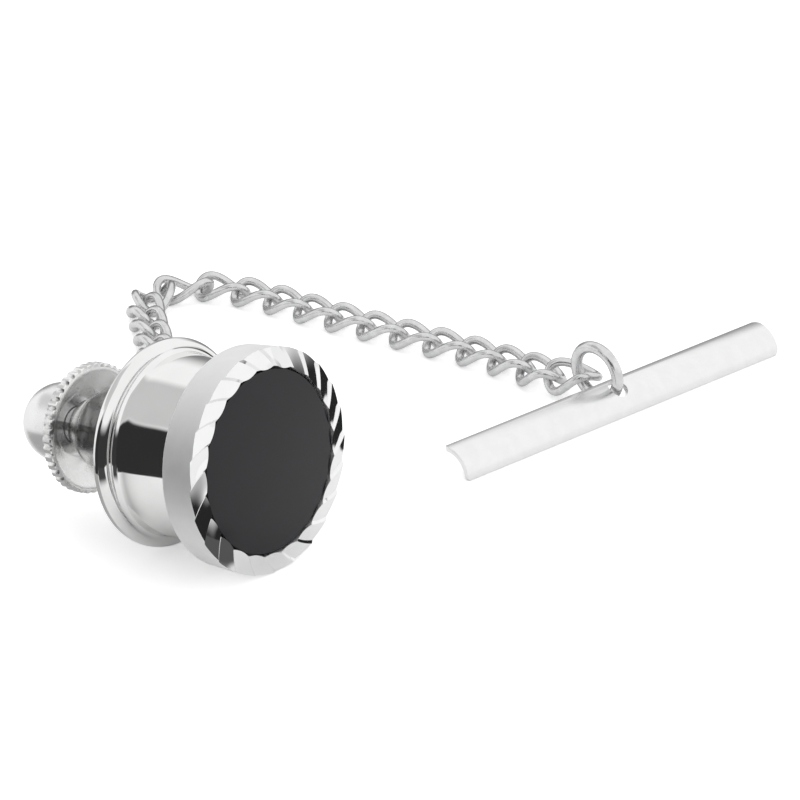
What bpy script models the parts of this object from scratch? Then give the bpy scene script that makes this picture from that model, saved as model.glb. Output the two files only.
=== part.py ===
"""Tie pin: a stone-set tack head, its ball clutch, a curb chain and a toggle bar.

Sizes are in millimetres and are turned into metres when a mesh is made.
The tack's parts are drawn along the tack's own axis: s is 0 at the head's front rim and
falls towards the tail, and r is the distance from that axis.
"""

import math

import bmesh
import bpy
from mathutils import Matrix, Vector

MM = 0.001
WELD = 1e-7

# Where the head's front centre stands, and how the tack lies on its two rims
HEAD_X = -7.614
HEAD_Y = -20.115
TACK_AZIMUTH = math.radians(49.5)
HEAD_R = 6.0
FLANGE_R = 5.555
FLANGE_S = -7.0
TACK_TILT = math.asin((HEAD_R - FLANGE_R) / -FLANGE_S)
FLOOR_LIFT = 0.016
HEAD_Z = HEAD_R * math.cos(TACK_TILT) + FLOOR_LIFT
TURN_STEPS = 48
FINE_STEPS = 28
CAP_STEPS = 36
RUNNING_GAP = 0.02
SEAT_GAP = 0.04

# Head: a cup with a ring of slanting facets cut round its mouth
HEAD_BACK_S = -2.17
HEAD_BACK_R = 5.86
HEAD_EDGE = 0.12
FACETS = 24
FACET_SWIRL = math.radians(-10.0)
FACET_WIDE = 0.73
FACET_COLUMNS = 3
OUTER_STEP = 0.24
INNER_STEP = 0.14
INNER_RISE = 0.10
STONE_R = 4.98
STONE_S = 0.02
STONE_DEPTH = 0.95
STONE_EDGE = 0.08
PAD_R = 1.9
PAD_DEPTH = 0.42

# Post
POST_R = 0.525
POST_TIP_S = -12.0
POST_TAPER = 1.1
POST_TIP_R = 0.12
POST_SHOULDER_R = POST_R * 0.72
POST_POINT = 0.06
POST_FILLET = 0.2

# Clutch shells, pressed from thin sheet, with outlines as (r, s) points from head to tail
DRUM_FRONT_S = -2.45
DRUM_FRONT_R = 4.72
DRUM_BACK_R = 4.82
SHELL_WALL = 0.32
DRUM_HOLE_R = 0.64
DRUM_CORNER = 0.3
DRUM_BACK_S = -5.9
FLARE_INNER_R = 4.85
FLARE_S = -6.62
FLARE = ((DRUM_BACK_R, -5.55), (4.87, DRUM_BACK_S), (4.98, -6.2), (5.2, -6.45), (5.43, FLARE_S))
RIM_EDGE = 0.1
RIM_BACK_S = -7.42
RIM_BACK = ((5.43, RIM_BACK_S + 0.05), (5.28, RIM_BACK_S), (5.14, RIM_BACK_S))
RIM_LIP = 0.12
CONE_SEAT = 0.18
CONE_EDGE_R = 5.2
CONE_EDGE_S = -6.95
CONE_START_R = 5.08
CONE_OUTLINE = (
    (CONE_START_R, RIM_BACK_S + 0.1), (CONE_START_R, RIM_BACK_S - 0.06), (3.68, -9.3),
    (2.45, -11.05), (2.1, -11.6), (2.02, -11.85), (1.8, -11.95), (1.74, -12.3),
    (1.52, -12.42), (1.48, -12.85),
)
NECK_HOLE_R = 1.1
NECK_END_S = CONE_OUTLINE[-1][1]
SPRING_SEAT_S = -11.25
CONE_INNER = ((1.96, SPRING_SEAT_S), (3.28, -9.3), (4.7, -7.3), (4.78, CONE_EDGE_S))

# Ball lock: a sleeve that narrows towards the head, three balls in a cage, and a spring
BALLS = 3
BALL_R = 0.5
BALL_S = -6.2
BALL_OFFSET = POST_R + RUNNING_GAP + BALL_R
BALL_HOLE_R = BALL_R + 0.03
WEDGE = math.radians(12.0)
SLEEVE_FRONT_S = DRUM_FRONT_S - SHELL_WALL - SEAT_GAP
SLEEVE_FLANGE_R = 4.3
SLEEVE_FLANGE = 0.5
SLEEVE_R = 2.7
SLEEVE_MOUTH_S = -4.6
SLEEVE_END_S = -8.0
STEM_R = 1.0
STEM_BORE_R = 0.6
CAGE_R = 1.3
CAGE_WALL = CAGE_R - STEM_BORE_R
CAGE_FRONT_S = -5.5
CAGE_FLANGE_R = 2.15
CAGE_FLANGE_S = -8.2
CAGE_FLANGE = 0.35
STEM_END_S = -14.3
SPRING_WIRE_R = 0.125
SPRING_R = 1.7
SPRING_COILS = 5
SPRING_GAP = 0.03
SPRING_STEPS = 12

# Pull disc and its end cap
CAP_R = 2.15
CAP_START_S = -13.86
CAP_CENTRE_S = -14.6
CAP_WALL = 0.26
DISC_R = 3.5
DISC_EDGE_S = -12.24
DISC_EDGE_BACK_S = -12.87
DISC_FRONT = (
    (1.5, -13.62), (1.72, -13.52), (2.15, -13.14), (2.7, -12.68), (3.16, -12.28),
    (3.26, DISC_EDGE_S),
)
DISC_BACK = ((3.2, -12.92), (2.7, -13.26), (2.2, -13.66))
DISC_HUB_R = CAP_R - CAP_WALL - SEAT_GAP
DISC_HUB_END_S = -14.55
KNURLS = 42
KNURL_DEPTH = 0.16
KNURL_OVERCUT = 0.3
EDGE_BREAK = 0.06

# Eye on the back of the clutch, which the first link pulls to one side
EYE_S = -9.0
EYE_TURN = math.radians(-35.0)
EYE_WIRE_R = 0.25
EYE_ARC_R = 0.85
EYE_REACH = 1.35
EYE_PULL = math.radians(-26.0)

# Curb chain, laid along a route from the eye, with links rolled over (degrees) at its two ends
LINK_WIRE_R = 0.25
LINK_A = 1.61
LINK_B = 0.9
LINK_C = 0.48
LINK_PITCH = 2.5
LINK_POINTS = 14
LINKS = 27
CHAIN_Z = LINK_C + LINK_WIRE_R
CHAIN_ROUTE = (
    (-5.6, 11.2, 1.9), (-6.15, 14.0, 1.2), (-6.4, 18.0, 0.85), (-6.5, 23.0, CHAIN_Z),
    (-6.65, 28.0, CHAIN_Z), (-7.1, 33.6, CHAIN_Z), (-7.4, 36.05, CHAIN_Z), (-7.72, 38.5, CHAIN_Z),
    (-7.92, 40.95, CHAIN_Z), (-7.02, 43.2, CHAIN_Z), (-4.68, 43.96, CHAIN_Z), (-2.5, 42.85, CHAIN_Z),
    (-0.55, 41.3, CHAIN_Z), (3.04, 37.8, CHAIN_Z), (6.8, 34.45, CHAIN_Z), (10.5, 31.25, CHAIN_Z),
    (12.4, 29.3, 0.76), (13.98, 27.25, 0.88), (15.5, 25.17, 1.06), (17.51, 23.76, 1.49),
)
FIRST_ROLLS = (74.0, 56.0, 38.0, 22.0, 8.0)
LAST_ROLLS = (4.0, 13.0, 25.0)

# Jump ring
RING_WIRE_R = 0.33
RING_R = 1.52
RING_CENTRE = (17.864, 22.894, 2.06)
RING_NORMAL = (0.7007, 0.7027, 0.1238)
RING_POINTS = 28

# Toggle bar: a strip arched across its width and leaning on its front edge
BAR_START = (10.43, 11.89)
BAR_AZIMUTH = math.radians(46.0)
BAR_ROLL = math.radians(43.2)
BAR_LENGTH = 26.0
BAR_WIDTH = 2.39
BAR_RISE = 0.52
BAR_SHEET = 0.28
BAR_ARC_STEPS = 12
BAR_ARC_R = (BAR_WIDTH * BAR_WIDTH / 4.0 + BAR_RISE * BAR_RISE) / (2.0 * BAR_RISE)
BAR_CORNER_R = 0.35
BAR_CORNER_STEPS = 3
BAR_HOLE_AT = 13.19
BAR_HOLE_ACROSS = 0.377
BAR_HOLE_R = 0.58


def arc(centre_r, centre_s, radius, start, end, steps):
    """Points on an arc, with angles in degrees from the outward direction."""
    points = []
    for i in range(steps + 1):
        angle = math.radians(start + (end - start) * i / steps)
        points.append((centre_r + radius * math.cos(angle), centre_s + radius * math.sin(angle)))
    return points


def material(name, colour, metallic, roughness):
    slot = bpy.data.materials.new(name)
    slot.use_nodes = True
    shader = slot.node_tree.nodes["Principled BSDF"]
    shader.inputs["Base Color"].default_value = (*colour, 1.0)
    shader.inputs["Metallic"].default_value = metallic
    shader.inputs["Roughness"].default_value = roughness
    return slot


def new_object(name, mesh, parent, slot, target):
    obj = bpy.data.objects.new(name, mesh)
    target.objects.link(obj)
    obj.parent = parent
    if slot:
        mesh.materials.append(slot)
    return obj


def turned(name, profile, parent, slot, steps=TURN_STEPS, target=None):
    """Turn a profile of (r, s) points about the parent's Z, outer side first, head to tail."""
    closed = profile[0][0] > 0.0
    mesh = bpy.data.meshes.new(name)
    vertices = [(r * MM, 0.0, s * MM) for r, s in profile]
    edges = [(i, i + 1) for i in range(len(profile) - 1)]
    if closed:
        edges.append((len(profile) - 1, 0))
    mesh.from_pydata(vertices, edges, [])
    obj = new_object(name, mesh, parent, slot, target or collection)
    screw = obj.modifiers.new("Turn", "SCREW")
    screw.steps = steps
    screw.render_steps = steps
    screw.use_merge_vertices = True
    screw.merge_threshold = WELD
    screw.use_normal_calculate = True
    return obj


def bake(obj):
    """Replace an object's modifiers and curve data by the mesh they make."""
    depsgraph = bpy.context.evaluated_depsgraph_get()
    mesh = bpy.data.meshes.new_from_object(obj.evaluated_get(depsgraph), depsgraph=depsgraph)
    obj.modifiers.clear()
    obj.data = mesh
    return mesh


def outward(mesh):
    """Weld the mesh and turn its faces outwards."""
    work = bmesh.new()
    work.from_mesh(mesh)
    bmesh.ops.remove_doubles(work, verts=work.verts, dist=WELD)
    bmesh.ops.recalc_face_normals(work, faces=work.faces)
    if work.calc_volume(signed=True) < 0:
        bmesh.ops.reverse_faces(work, faces=work.faces)
    work.to_mesh(mesh)
    work.free()


def smooth(mesh, angle=35.0):
    """Shade round sides smoothly and keep edges over the angle, in degrees, sharp."""
    mesh.shade_smooth()
    mesh.set_sharp_from_angle(angle=math.radians(angle))


def cut(obj, cutter):
    boolean = obj.modifiers.new("Cut", "BOOLEAN")
    boolean.operation = "DIFFERENCE"
    boolean.solver = "EXACT"
    boolean.object = cutter
    cutter.hide_render = True
    cutter.display_type = "WIRE"


def tube_mesh(name, points, radius, closed, resolution=2):
    """The mesh of a round wire that follows the points, given in millimetres."""
    curve = bpy.data.curves.new(name, "CURVE")
    curve.dimensions = "3D"
    curve.bevel_depth = radius * MM
    curve.bevel_resolution = resolution
    curve.use_fill_caps = not closed
    spline = curve.splines.new("POLY")
    spline.points.add(len(points) - 1)
    for slot, point in zip(spline.points, points):
        slot.co = (*(Vector(point) * MM), 1.0)
    spline.use_cyclic_u = closed
    shape = bpy.data.objects.new(name, curve)
    collection.objects.link(shape)
    depsgraph = bpy.context.evaluated_depsgraph_get()
    mesh = bpy.data.meshes.new_from_object(shape.evaluated_get(depsgraph), depsgraph=depsgraph)
    bpy.data.objects.remove(shape)
    bpy.data.curves.remove(curve)
    mesh.materials.clear()
    outward(mesh)
    smooth(mesh, 60.0)
    return mesh


def loft(name, rows, start_point, end_point):
    """Skin between rows of points of equal count and close both ends on a point."""
    count = len(rows[0])
    vertices = [Vector(p) * MM for row in rows for p in row]
    vertices += [Vector(start_point) * MM, Vector(end_point) * MM]
    first, last = len(vertices) - 2, len(vertices) - 1
    base = (len(rows) - 1) * count
    faces = []
    for j in range(count):
        k = (j + 1) % count
        faces.append((first, j, k))
        faces.append((last, base + k, base + j))
        for i in range(len(rows) - 1):
            faces.append((i * count + j, (i + 1) * count + j, (i + 1) * count + k, i * count + k))
    mesh = bpy.data.meshes.new(name)
    mesh.from_pydata(vertices, [], faces)
    outward(mesh)
    return mesh


def facet_columns():
    """Angle and saw-tooth height of each column round the bezel, height from -0.5 to 0.5."""
    pitch = 2.0 * math.pi / FACETS
    columns = []
    for i in range(FACETS):
        for j in range(FACET_COLUMNS + 1):
            along = j / FACET_COLUMNS
            columns.append((pitch * (i + FACET_WIDE * along), along - 0.5))
    return columns


def head_bezel(parent, slot):
    """The cup that holds the stone, with its facets and the pocket for the post's pad."""
    columns = facet_columns()

    def ring(radius, s, swirl=0.0, step=0.0):
        return [
            (radius * math.cos(angle + swirl), radius * math.sin(angle + swirl), s + step * tooth)
            for angle, tooth in columns
        ]

    pad_pocket_r = PAD_R + SEAT_GAP
    pad_pocket_s = HEAD_BACK_S + PAD_DEPTH + SEAT_GAP
    stone_pocket_r = STONE_R + SEAT_GAP
    stone_pocket_s = STONE_S - STONE_DEPTH - SEAT_GAP
    rows = [
        ring(pad_pocket_r, pad_pocket_s),
        ring(pad_pocket_r, HEAD_BACK_S),
        ring(HEAD_BACK_R - HEAD_EDGE, HEAD_BACK_S),
        ring(HEAD_BACK_R, HEAD_BACK_S + HEAD_EDGE),
        ring(HEAD_R, -OUTER_STEP / 2, 0.0, OUTER_STEP),
        ring(stone_pocket_r, INNER_RISE, FACET_SWIRL, INNER_STEP),
        ring(stone_pocket_r, stone_pocket_s, FACET_SWIRL),
    ]
    mesh = loft("head_bezel", rows, (0.0, 0.0, pad_pocket_s), (0.0, 0.0, stone_pocket_s))
    smooth(mesh, 12.0)
    return new_object("head_bezel", mesh, parent, slot, collection)


def head_parts(tack, steel, onyx, post_steel):
    head_bezel(tack, steel)
    stone = [
        (0.0, STONE_S),
        (STONE_R - STONE_EDGE, STONE_S),
        (STONE_R, STONE_S - STONE_EDGE),
        (STONE_R, STONE_S - STONE_DEPTH),
        (0.0, STONE_S - STONE_DEPTH),
    ]
    turned("onyx_inlay", stone, tack, onyx)
    post = [
        (0.0, HEAD_BACK_S + PAD_DEPTH),
        (PAD_R, HEAD_BACK_S + PAD_DEPTH),
        (PAD_R, HEAD_BACK_S + SEAT_GAP),
        (POST_R + POST_FILLET, HEAD_BACK_S + SEAT_GAP),
        (POST_R, HEAD_BACK_S - POST_FILLET / 2),
        (POST_R, POST_TIP_S + POST_TAPER),
        (POST_SHOULDER_R, POST_TIP_S + POST_TAPER * 0.4),
        (POST_TIP_R, POST_TIP_S),
        (0.0, POST_TIP_S - POST_POINT),
    ]
    turned("tack_post", post, tack, post_steel, FINE_STEPS)


def front_shell(parent, slot):
    """Drum, flare and rim, with the lip that holds the cone's edge."""
    wall = SHELL_WALL
    inner_corner_s = DRUM_FRONT_S - wall
    lip_r = RIM_BACK[-1][0]
    profile = [(DRUM_HOLE_R, DRUM_FRONT_S)]
    profile += arc(DRUM_FRONT_R - DRUM_CORNER, DRUM_FRONT_S - DRUM_CORNER, DRUM_CORNER, 90, 0, 3)
    profile += FLARE
    profile += [(FLANGE_R, FLANGE_S + RIM_EDGE), (FLANGE_R, FLANGE_S - RIM_EDGE)]
    profile += RIM_BACK
    profile += [(lip_r, RIM_BACK_S + RIM_LIP), (CONE_EDGE_R + SEAT_GAP, RIM_BACK_S + CONE_SEAT)]
    profile += [(CONE_EDGE_R + SEAT_GAP, CONE_EDGE_S + SEAT_GAP), (FLARE_INNER_R, FLARE_S)]
    profile += [(DRUM_BACK_R - wall, DRUM_BACK_S), (DRUM_FRONT_R - wall, inner_corner_s)]
    profile += [(DRUM_HOLE_R, inner_corner_s)]
    return turned("front_shell", profile, parent, slot)


def rear_shell(parent, slot):
    """Cone and neck, with an edge held inside the front shell's lip."""
    edge_back_s = RIM_BACK_S + CONE_SEAT + SEAT_GAP
    profile = [(CONE_EDGE_R, CONE_EDGE_S), (CONE_EDGE_R, edge_back_s), (CONE_START_R, edge_back_s)]
    profile += CONE_OUTLINE[1:]
    profile += [(NECK_HOLE_R, NECK_END_S), (NECK_HOLE_R, SPRING_SEAT_S)]
    profile += CONE_INNER
    return turned("rear_shell", profile, parent, slot)


def wedge_radius(s):
    """Inner radius of the sleeve, which clears the balls by the running gap."""
    at_ball = BALL_OFFSET + (BALL_R + RUNNING_GAP) / math.cos(WEDGE)
    return at_ball + (BALL_S - s) * math.tan(WEDGE)


def cone_sleeve(parent, slot):
    flange_back = SLEEVE_FRONT_S - SLEEVE_FLANGE
    profile = [
        (SLEEVE_FLANGE_R, SLEEVE_FRONT_S),
        (SLEEVE_FLANGE_R, flange_back),
        (SLEEVE_R, flange_back),
        (SLEEVE_R, SLEEVE_END_S),
        (wedge_radius(SLEEVE_END_S), SLEEVE_END_S),
        (wedge_radius(SLEEVE_MOUTH_S), SLEEVE_MOUTH_S),
        (DRUM_HOLE_R, SLEEVE_MOUTH_S),
        (DRUM_HOLE_R, SLEEVE_FRONT_S),
    ]
    return turned("cone_sleeve", profile, parent, slot)


def ball_cage(parent, slot):
    """Cage and stem in one piece, with a drilled hole for each ball."""
    flange_back = CAGE_FLANGE_S - CAGE_FLANGE
    profile = [
        (CAGE_R, CAGE_FRONT_S),
        (CAGE_R, CAGE_FLANGE_S),
        (CAGE_FLANGE_R, CAGE_FLANGE_S),
        (CAGE_FLANGE_R, flange_back),
        (STEM_R, flange_back),
        (STEM_R, STEM_END_S),
        (STEM_BORE_R, STEM_END_S),
        (STEM_BORE_R, CAGE_FRONT_S),
    ]
    cage = turned("ball_cage", profile, parent, slot, FINE_STEPS)
    for i in range(BALLS):
        angle = 2.0 * math.pi * i / BALLS
        mesh = bpy.data.meshes.new(f"ball_drill_{i + 1}")
        work = bmesh.new()
        bmesh.ops.create_cone(
            work, cap_ends=True, segments=24, radius1=BALL_HOLE_R * MM,
            radius2=BALL_HOLE_R * MM, depth=CAGE_WALL * 2.0 * MM,
        )
        work.to_mesh(mesh)
        work.free()
        drill = new_object(f"ball_drill_{i + 1}", mesh, parent, None, cutters)
        middle = Vector((CAGE_R - CAGE_WALL / 2, 0.0, BALL_S)) * MM
        drill.matrix_local = (
            Matrix.Rotation(angle, 4, "Z") @ Matrix.Translation(middle)
            @ Matrix.Rotation(math.pi / 2, 4, "Y")
        )
        cut(cage, drill)
    return cage


def lock_balls(tack, slot):
    for i in range(BALLS):
        angle = 2.0 * math.pi * i / BALLS
        name = f"ball_{i + 1}"
        mesh = bpy.data.meshes.new(name)
        work = bmesh.new()
        bmesh.ops.create_uvsphere(work, u_segments=14, v_segments=8, radius=BALL_R * MM)
        work.to_mesh(mesh)
        work.free()
        smooth(mesh)
        ball = new_object(name, mesh, tack, slot, collection)
        place = Vector((BALL_OFFSET, 0.0, BALL_S)) * MM
        ball.matrix_local = (
            Matrix.Rotation(angle, 4, "Z") @ Matrix.Translation(place)
            @ Matrix.Rotation(math.pi / 2, 4, "Y")
        )


def pull_spring(parent, slot):
    top = CAGE_FLANGE_S - CAGE_FLANGE - SPRING_GAP - SPRING_WIRE_R
    bottom = SPRING_SEAT_S + SPRING_GAP + SPRING_WIRE_R
    steps = SPRING_COILS * SPRING_STEPS
    points = []
    for i in range(steps + 1):
        angle = 2.0 * math.pi * i / SPRING_STEPS
        height = top + (bottom - top) * i / steps
        points.append((SPRING_R * math.cos(angle), SPRING_R * math.sin(angle), height))
    mesh = tube_mesh("pull_spring", points, SPRING_WIRE_R, False, 1)
    return new_object("pull_spring", mesh, parent, slot, collection)


def pull_disc(parent, slot):
    bore = STEM_R + SEAT_GAP
    profile = [(bore, DISC_FRONT[0][1]), *DISC_FRONT]
    profile += [(DISC_R - EDGE_BREAK, DISC_EDGE_S), (DISC_R, DISC_EDGE_S - EDGE_BREAK)]
    profile += [(DISC_R, DISC_EDGE_BACK_S + EDGE_BREAK), (DISC_R - EDGE_BREAK, DISC_EDGE_BACK_S)]
    profile += DISC_BACK
    profile += [(DISC_HUB_R, CAP_START_S), (DISC_HUB_R, DISC_HUB_END_S), (bore, DISC_HUB_END_S)]
    disc = turned("pull_disc", profile, parent, slot, KNURLS)
    mesh = bpy.data.meshes.new("knurl_cutter")
    work = bmesh.new()
    half_pitch = math.pi / KNURLS
    for i in range(KNURLS):
        middle = 2.0 * math.pi * i / KNURLS
        outer = DISC_R + KNURL_OVERCUT
        wide = half_pitch * 0.5 * (1.0 + KNURL_OVERCUT / KNURL_DEPTH)
        section = (
            (DISC_R - KNURL_DEPTH, middle),
            (outer, middle - wide),
            (outer, middle + wide),
        )
        top = []
        bottom = []
        for radius, angle in section:
            x, y = radius * math.cos(angle), radius * math.sin(angle)
            top.append(work.verts.new(Vector((x, y, DISC_EDGE_S + KNURL_OVERCUT)) * MM))
            bottom.append(work.verts.new(Vector((x, y, DISC_EDGE_BACK_S - KNURL_OVERCUT)) * MM))
        work.faces.new(top)
        work.faces.new(reversed(bottom))
        for j in range(3):
            k = (j + 1) % 3
            work.faces.new((top[j], bottom[j], bottom[k], top[k]))
    work.to_mesh(mesh)
    work.free()
    outward(mesh)
    cut(disc, new_object("knurl_cutter", mesh, parent, None, cutters))
    return disc


def end_cap(parent, slot):
    inner_r = CAP_R - CAP_WALL
    profile = arc(0.0, CAP_CENTRE_S, CAP_R, 270, 360, 8)
    profile += [(CAP_R, CAP_START_S + EDGE_BREAK), (CAP_R - EDGE_BREAK, CAP_START_S)]
    profile += [(inner_r, CAP_START_S)]
    profile += arc(0.0, CAP_CENTRE_S, inner_r, 360, 270, 4)
    profile[0] = (0.0, CAP_CENTRE_S - CAP_R)
    profile[-1] = (0.0, CAP_CENTRE_S - inner_r)
    return turned("end_cap", profile, parent, slot, CAP_STEPS)


def cone_radius(s):
    """Radius of the rear shell's outer side at s."""
    for (r0, s0), (r1, s1) in zip(CONE_OUTLINE, CONE_OUTLINE[1:]):
        if s1 <= s <= s0:
            return r0 + (r1 - r0) * (s - s0) / (s1 - s0)
    return CONE_OUTLINE[-1][0]


def eye_frame():
    """Frame of the eye in the tack's space: X out of the cone, Y along its slope, Z round it."""
    slope_s = 0.4
    rise = cone_radius(EYE_S + slope_s) - cone_radius(EYE_S - slope_s)
    lean = math.atan2(rise, 2.0 * slope_s)
    foot = Vector((cone_radius(EYE_S), 0.0, EYE_S))
    turn = Matrix.Rotation(EYE_TURN, 4, "Z")
    out = Vector((math.cos(lean), 0.0, -math.sin(lean)))
    along = Vector((math.sin(lean), 0.0, math.cos(lean)))
    basis = Matrix((out, along, out.cross(along))).transposed()
    return turn @ Matrix.Translation(foot) @ basis.to_4x4()


def chain_eye(parent, slot):
    """A U of wire whose legs stand on the cone."""
    foot = SEAT_GAP
    middle = EYE_REACH - EYE_ARC_R
    points = [(foot, -EYE_ARC_R, 0.0)]
    steps = 12
    for i in range(steps + 1):
        angle = -math.pi / 2 + math.pi * i / steps
        points.append((middle + EYE_ARC_R * math.cos(angle), EYE_ARC_R * math.sin(angle), 0.0))
    points.append((foot, EYE_ARC_R, 0.0))
    mesh = tube_mesh("chain_eye", points, EYE_WIRE_R, False)
    eye = new_object("chain_eye", mesh, parent, slot, collection)
    frame = eye_frame()
    frame.translation *= MM
    eye.matrix_local = frame
    return eye


def route_curve(points):
    """A fine polyline that runs smoothly through the points."""
    fine = []
    ends = [points[0] * 2 - points[1], *points, points[-1] * 2 - points[-2]]
    steps = 24
    for p0, p1, p2, p3 in zip(ends, ends[1:], ends[2:], ends[3:]):
        for i in range(steps):
            t = i / steps
            fine.append(
                0.5 * (2 * p1 + (p2 - p0) * t + (2 * p0 - 5 * p1 + 4 * p2 - p3) * t * t
                       + (3 * p1 - p0 - 3 * p2 + p3) * t * t * t)
            )
    fine.append(points[-1])
    return fine


def chain_pivots(start):
    """Pivots one pitch apart along the route, from the eye to the jump ring."""
    curve = route_curve([start, *[Vector(p) for p in CHAIN_ROUTE]])
    pivots = [start]
    here = 0
    while len(pivots) <= LINKS:
        last = pivots[-1]
        while here < len(curve) - 1 and (curve[here] - last).length < LINK_PITCH:
            here += 1
        if here == len(curve) - 1:
            forward = (curve[-1] - curve[-2]).normalized()
            pivots.append(last + forward * LINK_PITCH)
            continue
        pivots.append(last + (curve[here] - last).normalized() * LINK_PITCH)
    return pivots


def link_frame(start, end, roll):
    """Frame on a link's first pivot: X along the link, Z up, then rolled about X."""
    along = (end - start).normalized()
    side = Vector((0.0, 0.0, 1.0)).cross(along).normalized()
    up = along.cross(side)
    basis = Matrix((along, side, up)).transposed()
    return Matrix.Translation(start * MM) @ basis.to_4x4() @ Matrix.Rotation(math.radians(roll), 4, "X")


def link_roll(index):
    """Roll of a link about its own length, in degrees."""
    if index < len(FIRST_ROLLS):
        return FIRST_ROLLS[index]
    if index >= LINKS - len(LAST_ROLLS):
        return LAST_ROLLS[index - LINKS]
    return 0.0


def chain(root, slot, start):
    """One twisted link, copied along the route; each copy starts on its own pivot."""
    points = []
    for i in range(LINK_POINTS):
        t = 2.0 * math.pi * i / LINK_POINTS
        points.append((
            LINK_PITCH / 2 + LINK_A * math.cos(t),
            LINK_B * math.sin(t),
            -LINK_C * math.sin(2.0 * t),
        ))
    shape = tube_mesh("link", points, LINK_WIRE_R, True, 1)
    pivots = chain_pivots(start)
    for i in range(LINKS):
        name = f"link_{i + 1:02d}"
        mesh = shape.copy()
        mesh.name = name
        link = new_object(name, mesh, root, slot, collection)
        link.matrix_local = link_frame(pivots[i], pivots[i + 1], link_roll(i))
    bpy.data.meshes.remove(shape)


def jump_ring(root, slot):
    points = []
    for i in range(RING_POINTS):
        t = 2.0 * math.pi * i / RING_POINTS
        points.append((RING_R * math.cos(t), RING_R * math.sin(t), 0.0))
    mesh = tube_mesh("jump_ring", points, RING_WIRE_R, True)
    ring = new_object("jump_ring", mesh, root, slot, collection)
    normal = Vector(RING_NORMAL).normalized()
    up = (Vector((0.0, 0.0, 1.0)) - normal * normal.z).normalized()
    side = up.cross(normal)
    basis = Matrix((side, up, normal)).transposed()
    ring.matrix_local = Matrix.Translation(Vector(RING_CENTRE) * MM) @ basis.to_4x4()
    return ring


def bar_section(half):
    """Section of the arched sheet, cut off half a width to each side of its middle."""
    reach = math.asin(half / BAR_ARC_R)
    inner = BAR_ARC_R - BAR_SHEET
    lift = BAR_RISE - BAR_ARC_R
    section = []
    for i in range(BAR_ARC_STEPS + 1):
        angle = reach * (2.0 * i / BAR_ARC_STEPS - 1.0)
        section.append((BAR_ARC_R * math.sin(angle), BAR_ARC_R * math.cos(angle) + lift))
    for i in range(BAR_ARC_STEPS + 1):
        angle = reach * (1.0 - 2.0 * i / BAR_ARC_STEPS)
        section.append((inner * math.sin(angle), inner * math.cos(angle) + lift))
    return section


def toggle_bar(root, slot):
    """The bar lies on its own X, with Y from its front edge to its back edge."""
    half = BAR_WIDTH / 2
    near_end = []
    for i in range(BAR_CORNER_STEPS + 1):
        angle = math.pi / 2 * i / BAR_CORNER_STEPS
        narrower = BAR_CORNER_R * (1.0 - math.sin(angle))
        near_end.append((BAR_CORNER_R * (1.0 - math.cos(angle)), half - narrower))
    stations = near_end + [(BAR_LENGTH - x, reach) for x, reach in reversed(near_end)]
    mesh = bpy.data.meshes.new("toggle_bar")
    work = bmesh.new()
    rows = []
    for x, reach in stations:
        rows.append([work.verts.new(Vector((x, y, z)) * MM) for y, z in bar_section(reach)])
    work.faces.new(rows[0])
    work.faces.new(reversed(rows[-1]))
    for row, following in zip(rows, rows[1:]):
        for j in range(len(row)):
            k = (j + 1) % len(row)
            work.faces.new((row[k], row[j], following[j], following[k]))
    work.to_mesh(mesh)
    work.free()
    outward(mesh)
    smooth(mesh, 40.0)
    bar = new_object("toggle_bar", mesh, root, slot, collection)

    along = Vector((math.cos(BAR_AZIMUTH), math.sin(BAR_AZIMUTH), 0.0))
    flat = Vector((-along.y, along.x, 0.0))
    across = flat * math.cos(BAR_ROLL) + Vector((0.0, 0.0, math.sin(BAR_ROLL)))
    basis = Matrix((along, across, along.cross(across))).transposed()
    start = Vector((*BAR_START, 0.0)) + across * half
    start.z = -min((basis @ Vector((0.0, y, z))).z for y, z in bar_section(half))
    bar.matrix_local = Matrix.Translation(start * MM) @ basis.to_4x4()

    drill_mesh = bpy.data.meshes.new("bar_drill")
    work = bmesh.new()
    bmesh.ops.create_cone(
        work, cap_ends=True, segments=28, radius1=BAR_HOLE_R * MM, radius2=BAR_HOLE_R * MM,
        depth=4.0 * BAR_RISE * MM,
    )
    work.to_mesh(drill_mesh)
    work.free()
    drill = new_object("bar_drill", drill_mesh, bar, None, cutters)
    drill.matrix_local = Matrix.Translation(Vector((BAR_HOLE_AT, BAR_HOLE_ACROSS, BAR_RISE)) * MM)
    cut(bar, drill)
    return bar


for old in list(bpy.data.objects):
    bpy.data.objects.remove(old)

collection = bpy.data.collections.new("tie_pin")
bpy.context.scene.collection.children.link(collection)
cutters = bpy.data.collections.new("tie_pin_cutters")
bpy.context.scene.collection.children.link(cutters)

bezel_steel = material("bezel_steel", (0.80, 0.80, 0.81), 1.0, 0.16)
black_onyx = material("black_onyx", (0.012, 0.012, 0.016), 0.0, 0.28)
post_steel = material("post_steel", (0.72, 0.72, 0.73), 1.0, 0.25)
shell_chrome = material("shell_chrome", (0.82, 0.82, 0.83), 1.0, 0.08)
hidden_steel = material("hidden_steel", (0.60, 0.60, 0.60), 1.0, 0.35)
ball_steel = material("ball_steel", (0.75, 0.75, 0.76), 1.0, 0.12)
spring_steel = material("spring_steel", (0.55, 0.55, 0.56), 1.0, 0.30)
disc_steel = material("disc_steel", (0.80, 0.80, 0.81), 1.0, 0.18)
cap_steel = material("cap_steel", (0.80, 0.80, 0.81), 1.0, 0.22)
eye_wire = material("eye_wire", (0.78, 0.78, 0.79), 1.0, 0.2)
chain_wire = material("chain_wire", (0.78, 0.78, 0.79), 1.0, 0.22)
ring_wire = material("ring_wire", (0.76, 0.76, 0.77), 1.0, 0.24)
bar_steel = material("bar_steel", (0.82, 0.82, 0.83), 1.0, 0.3)

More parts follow.
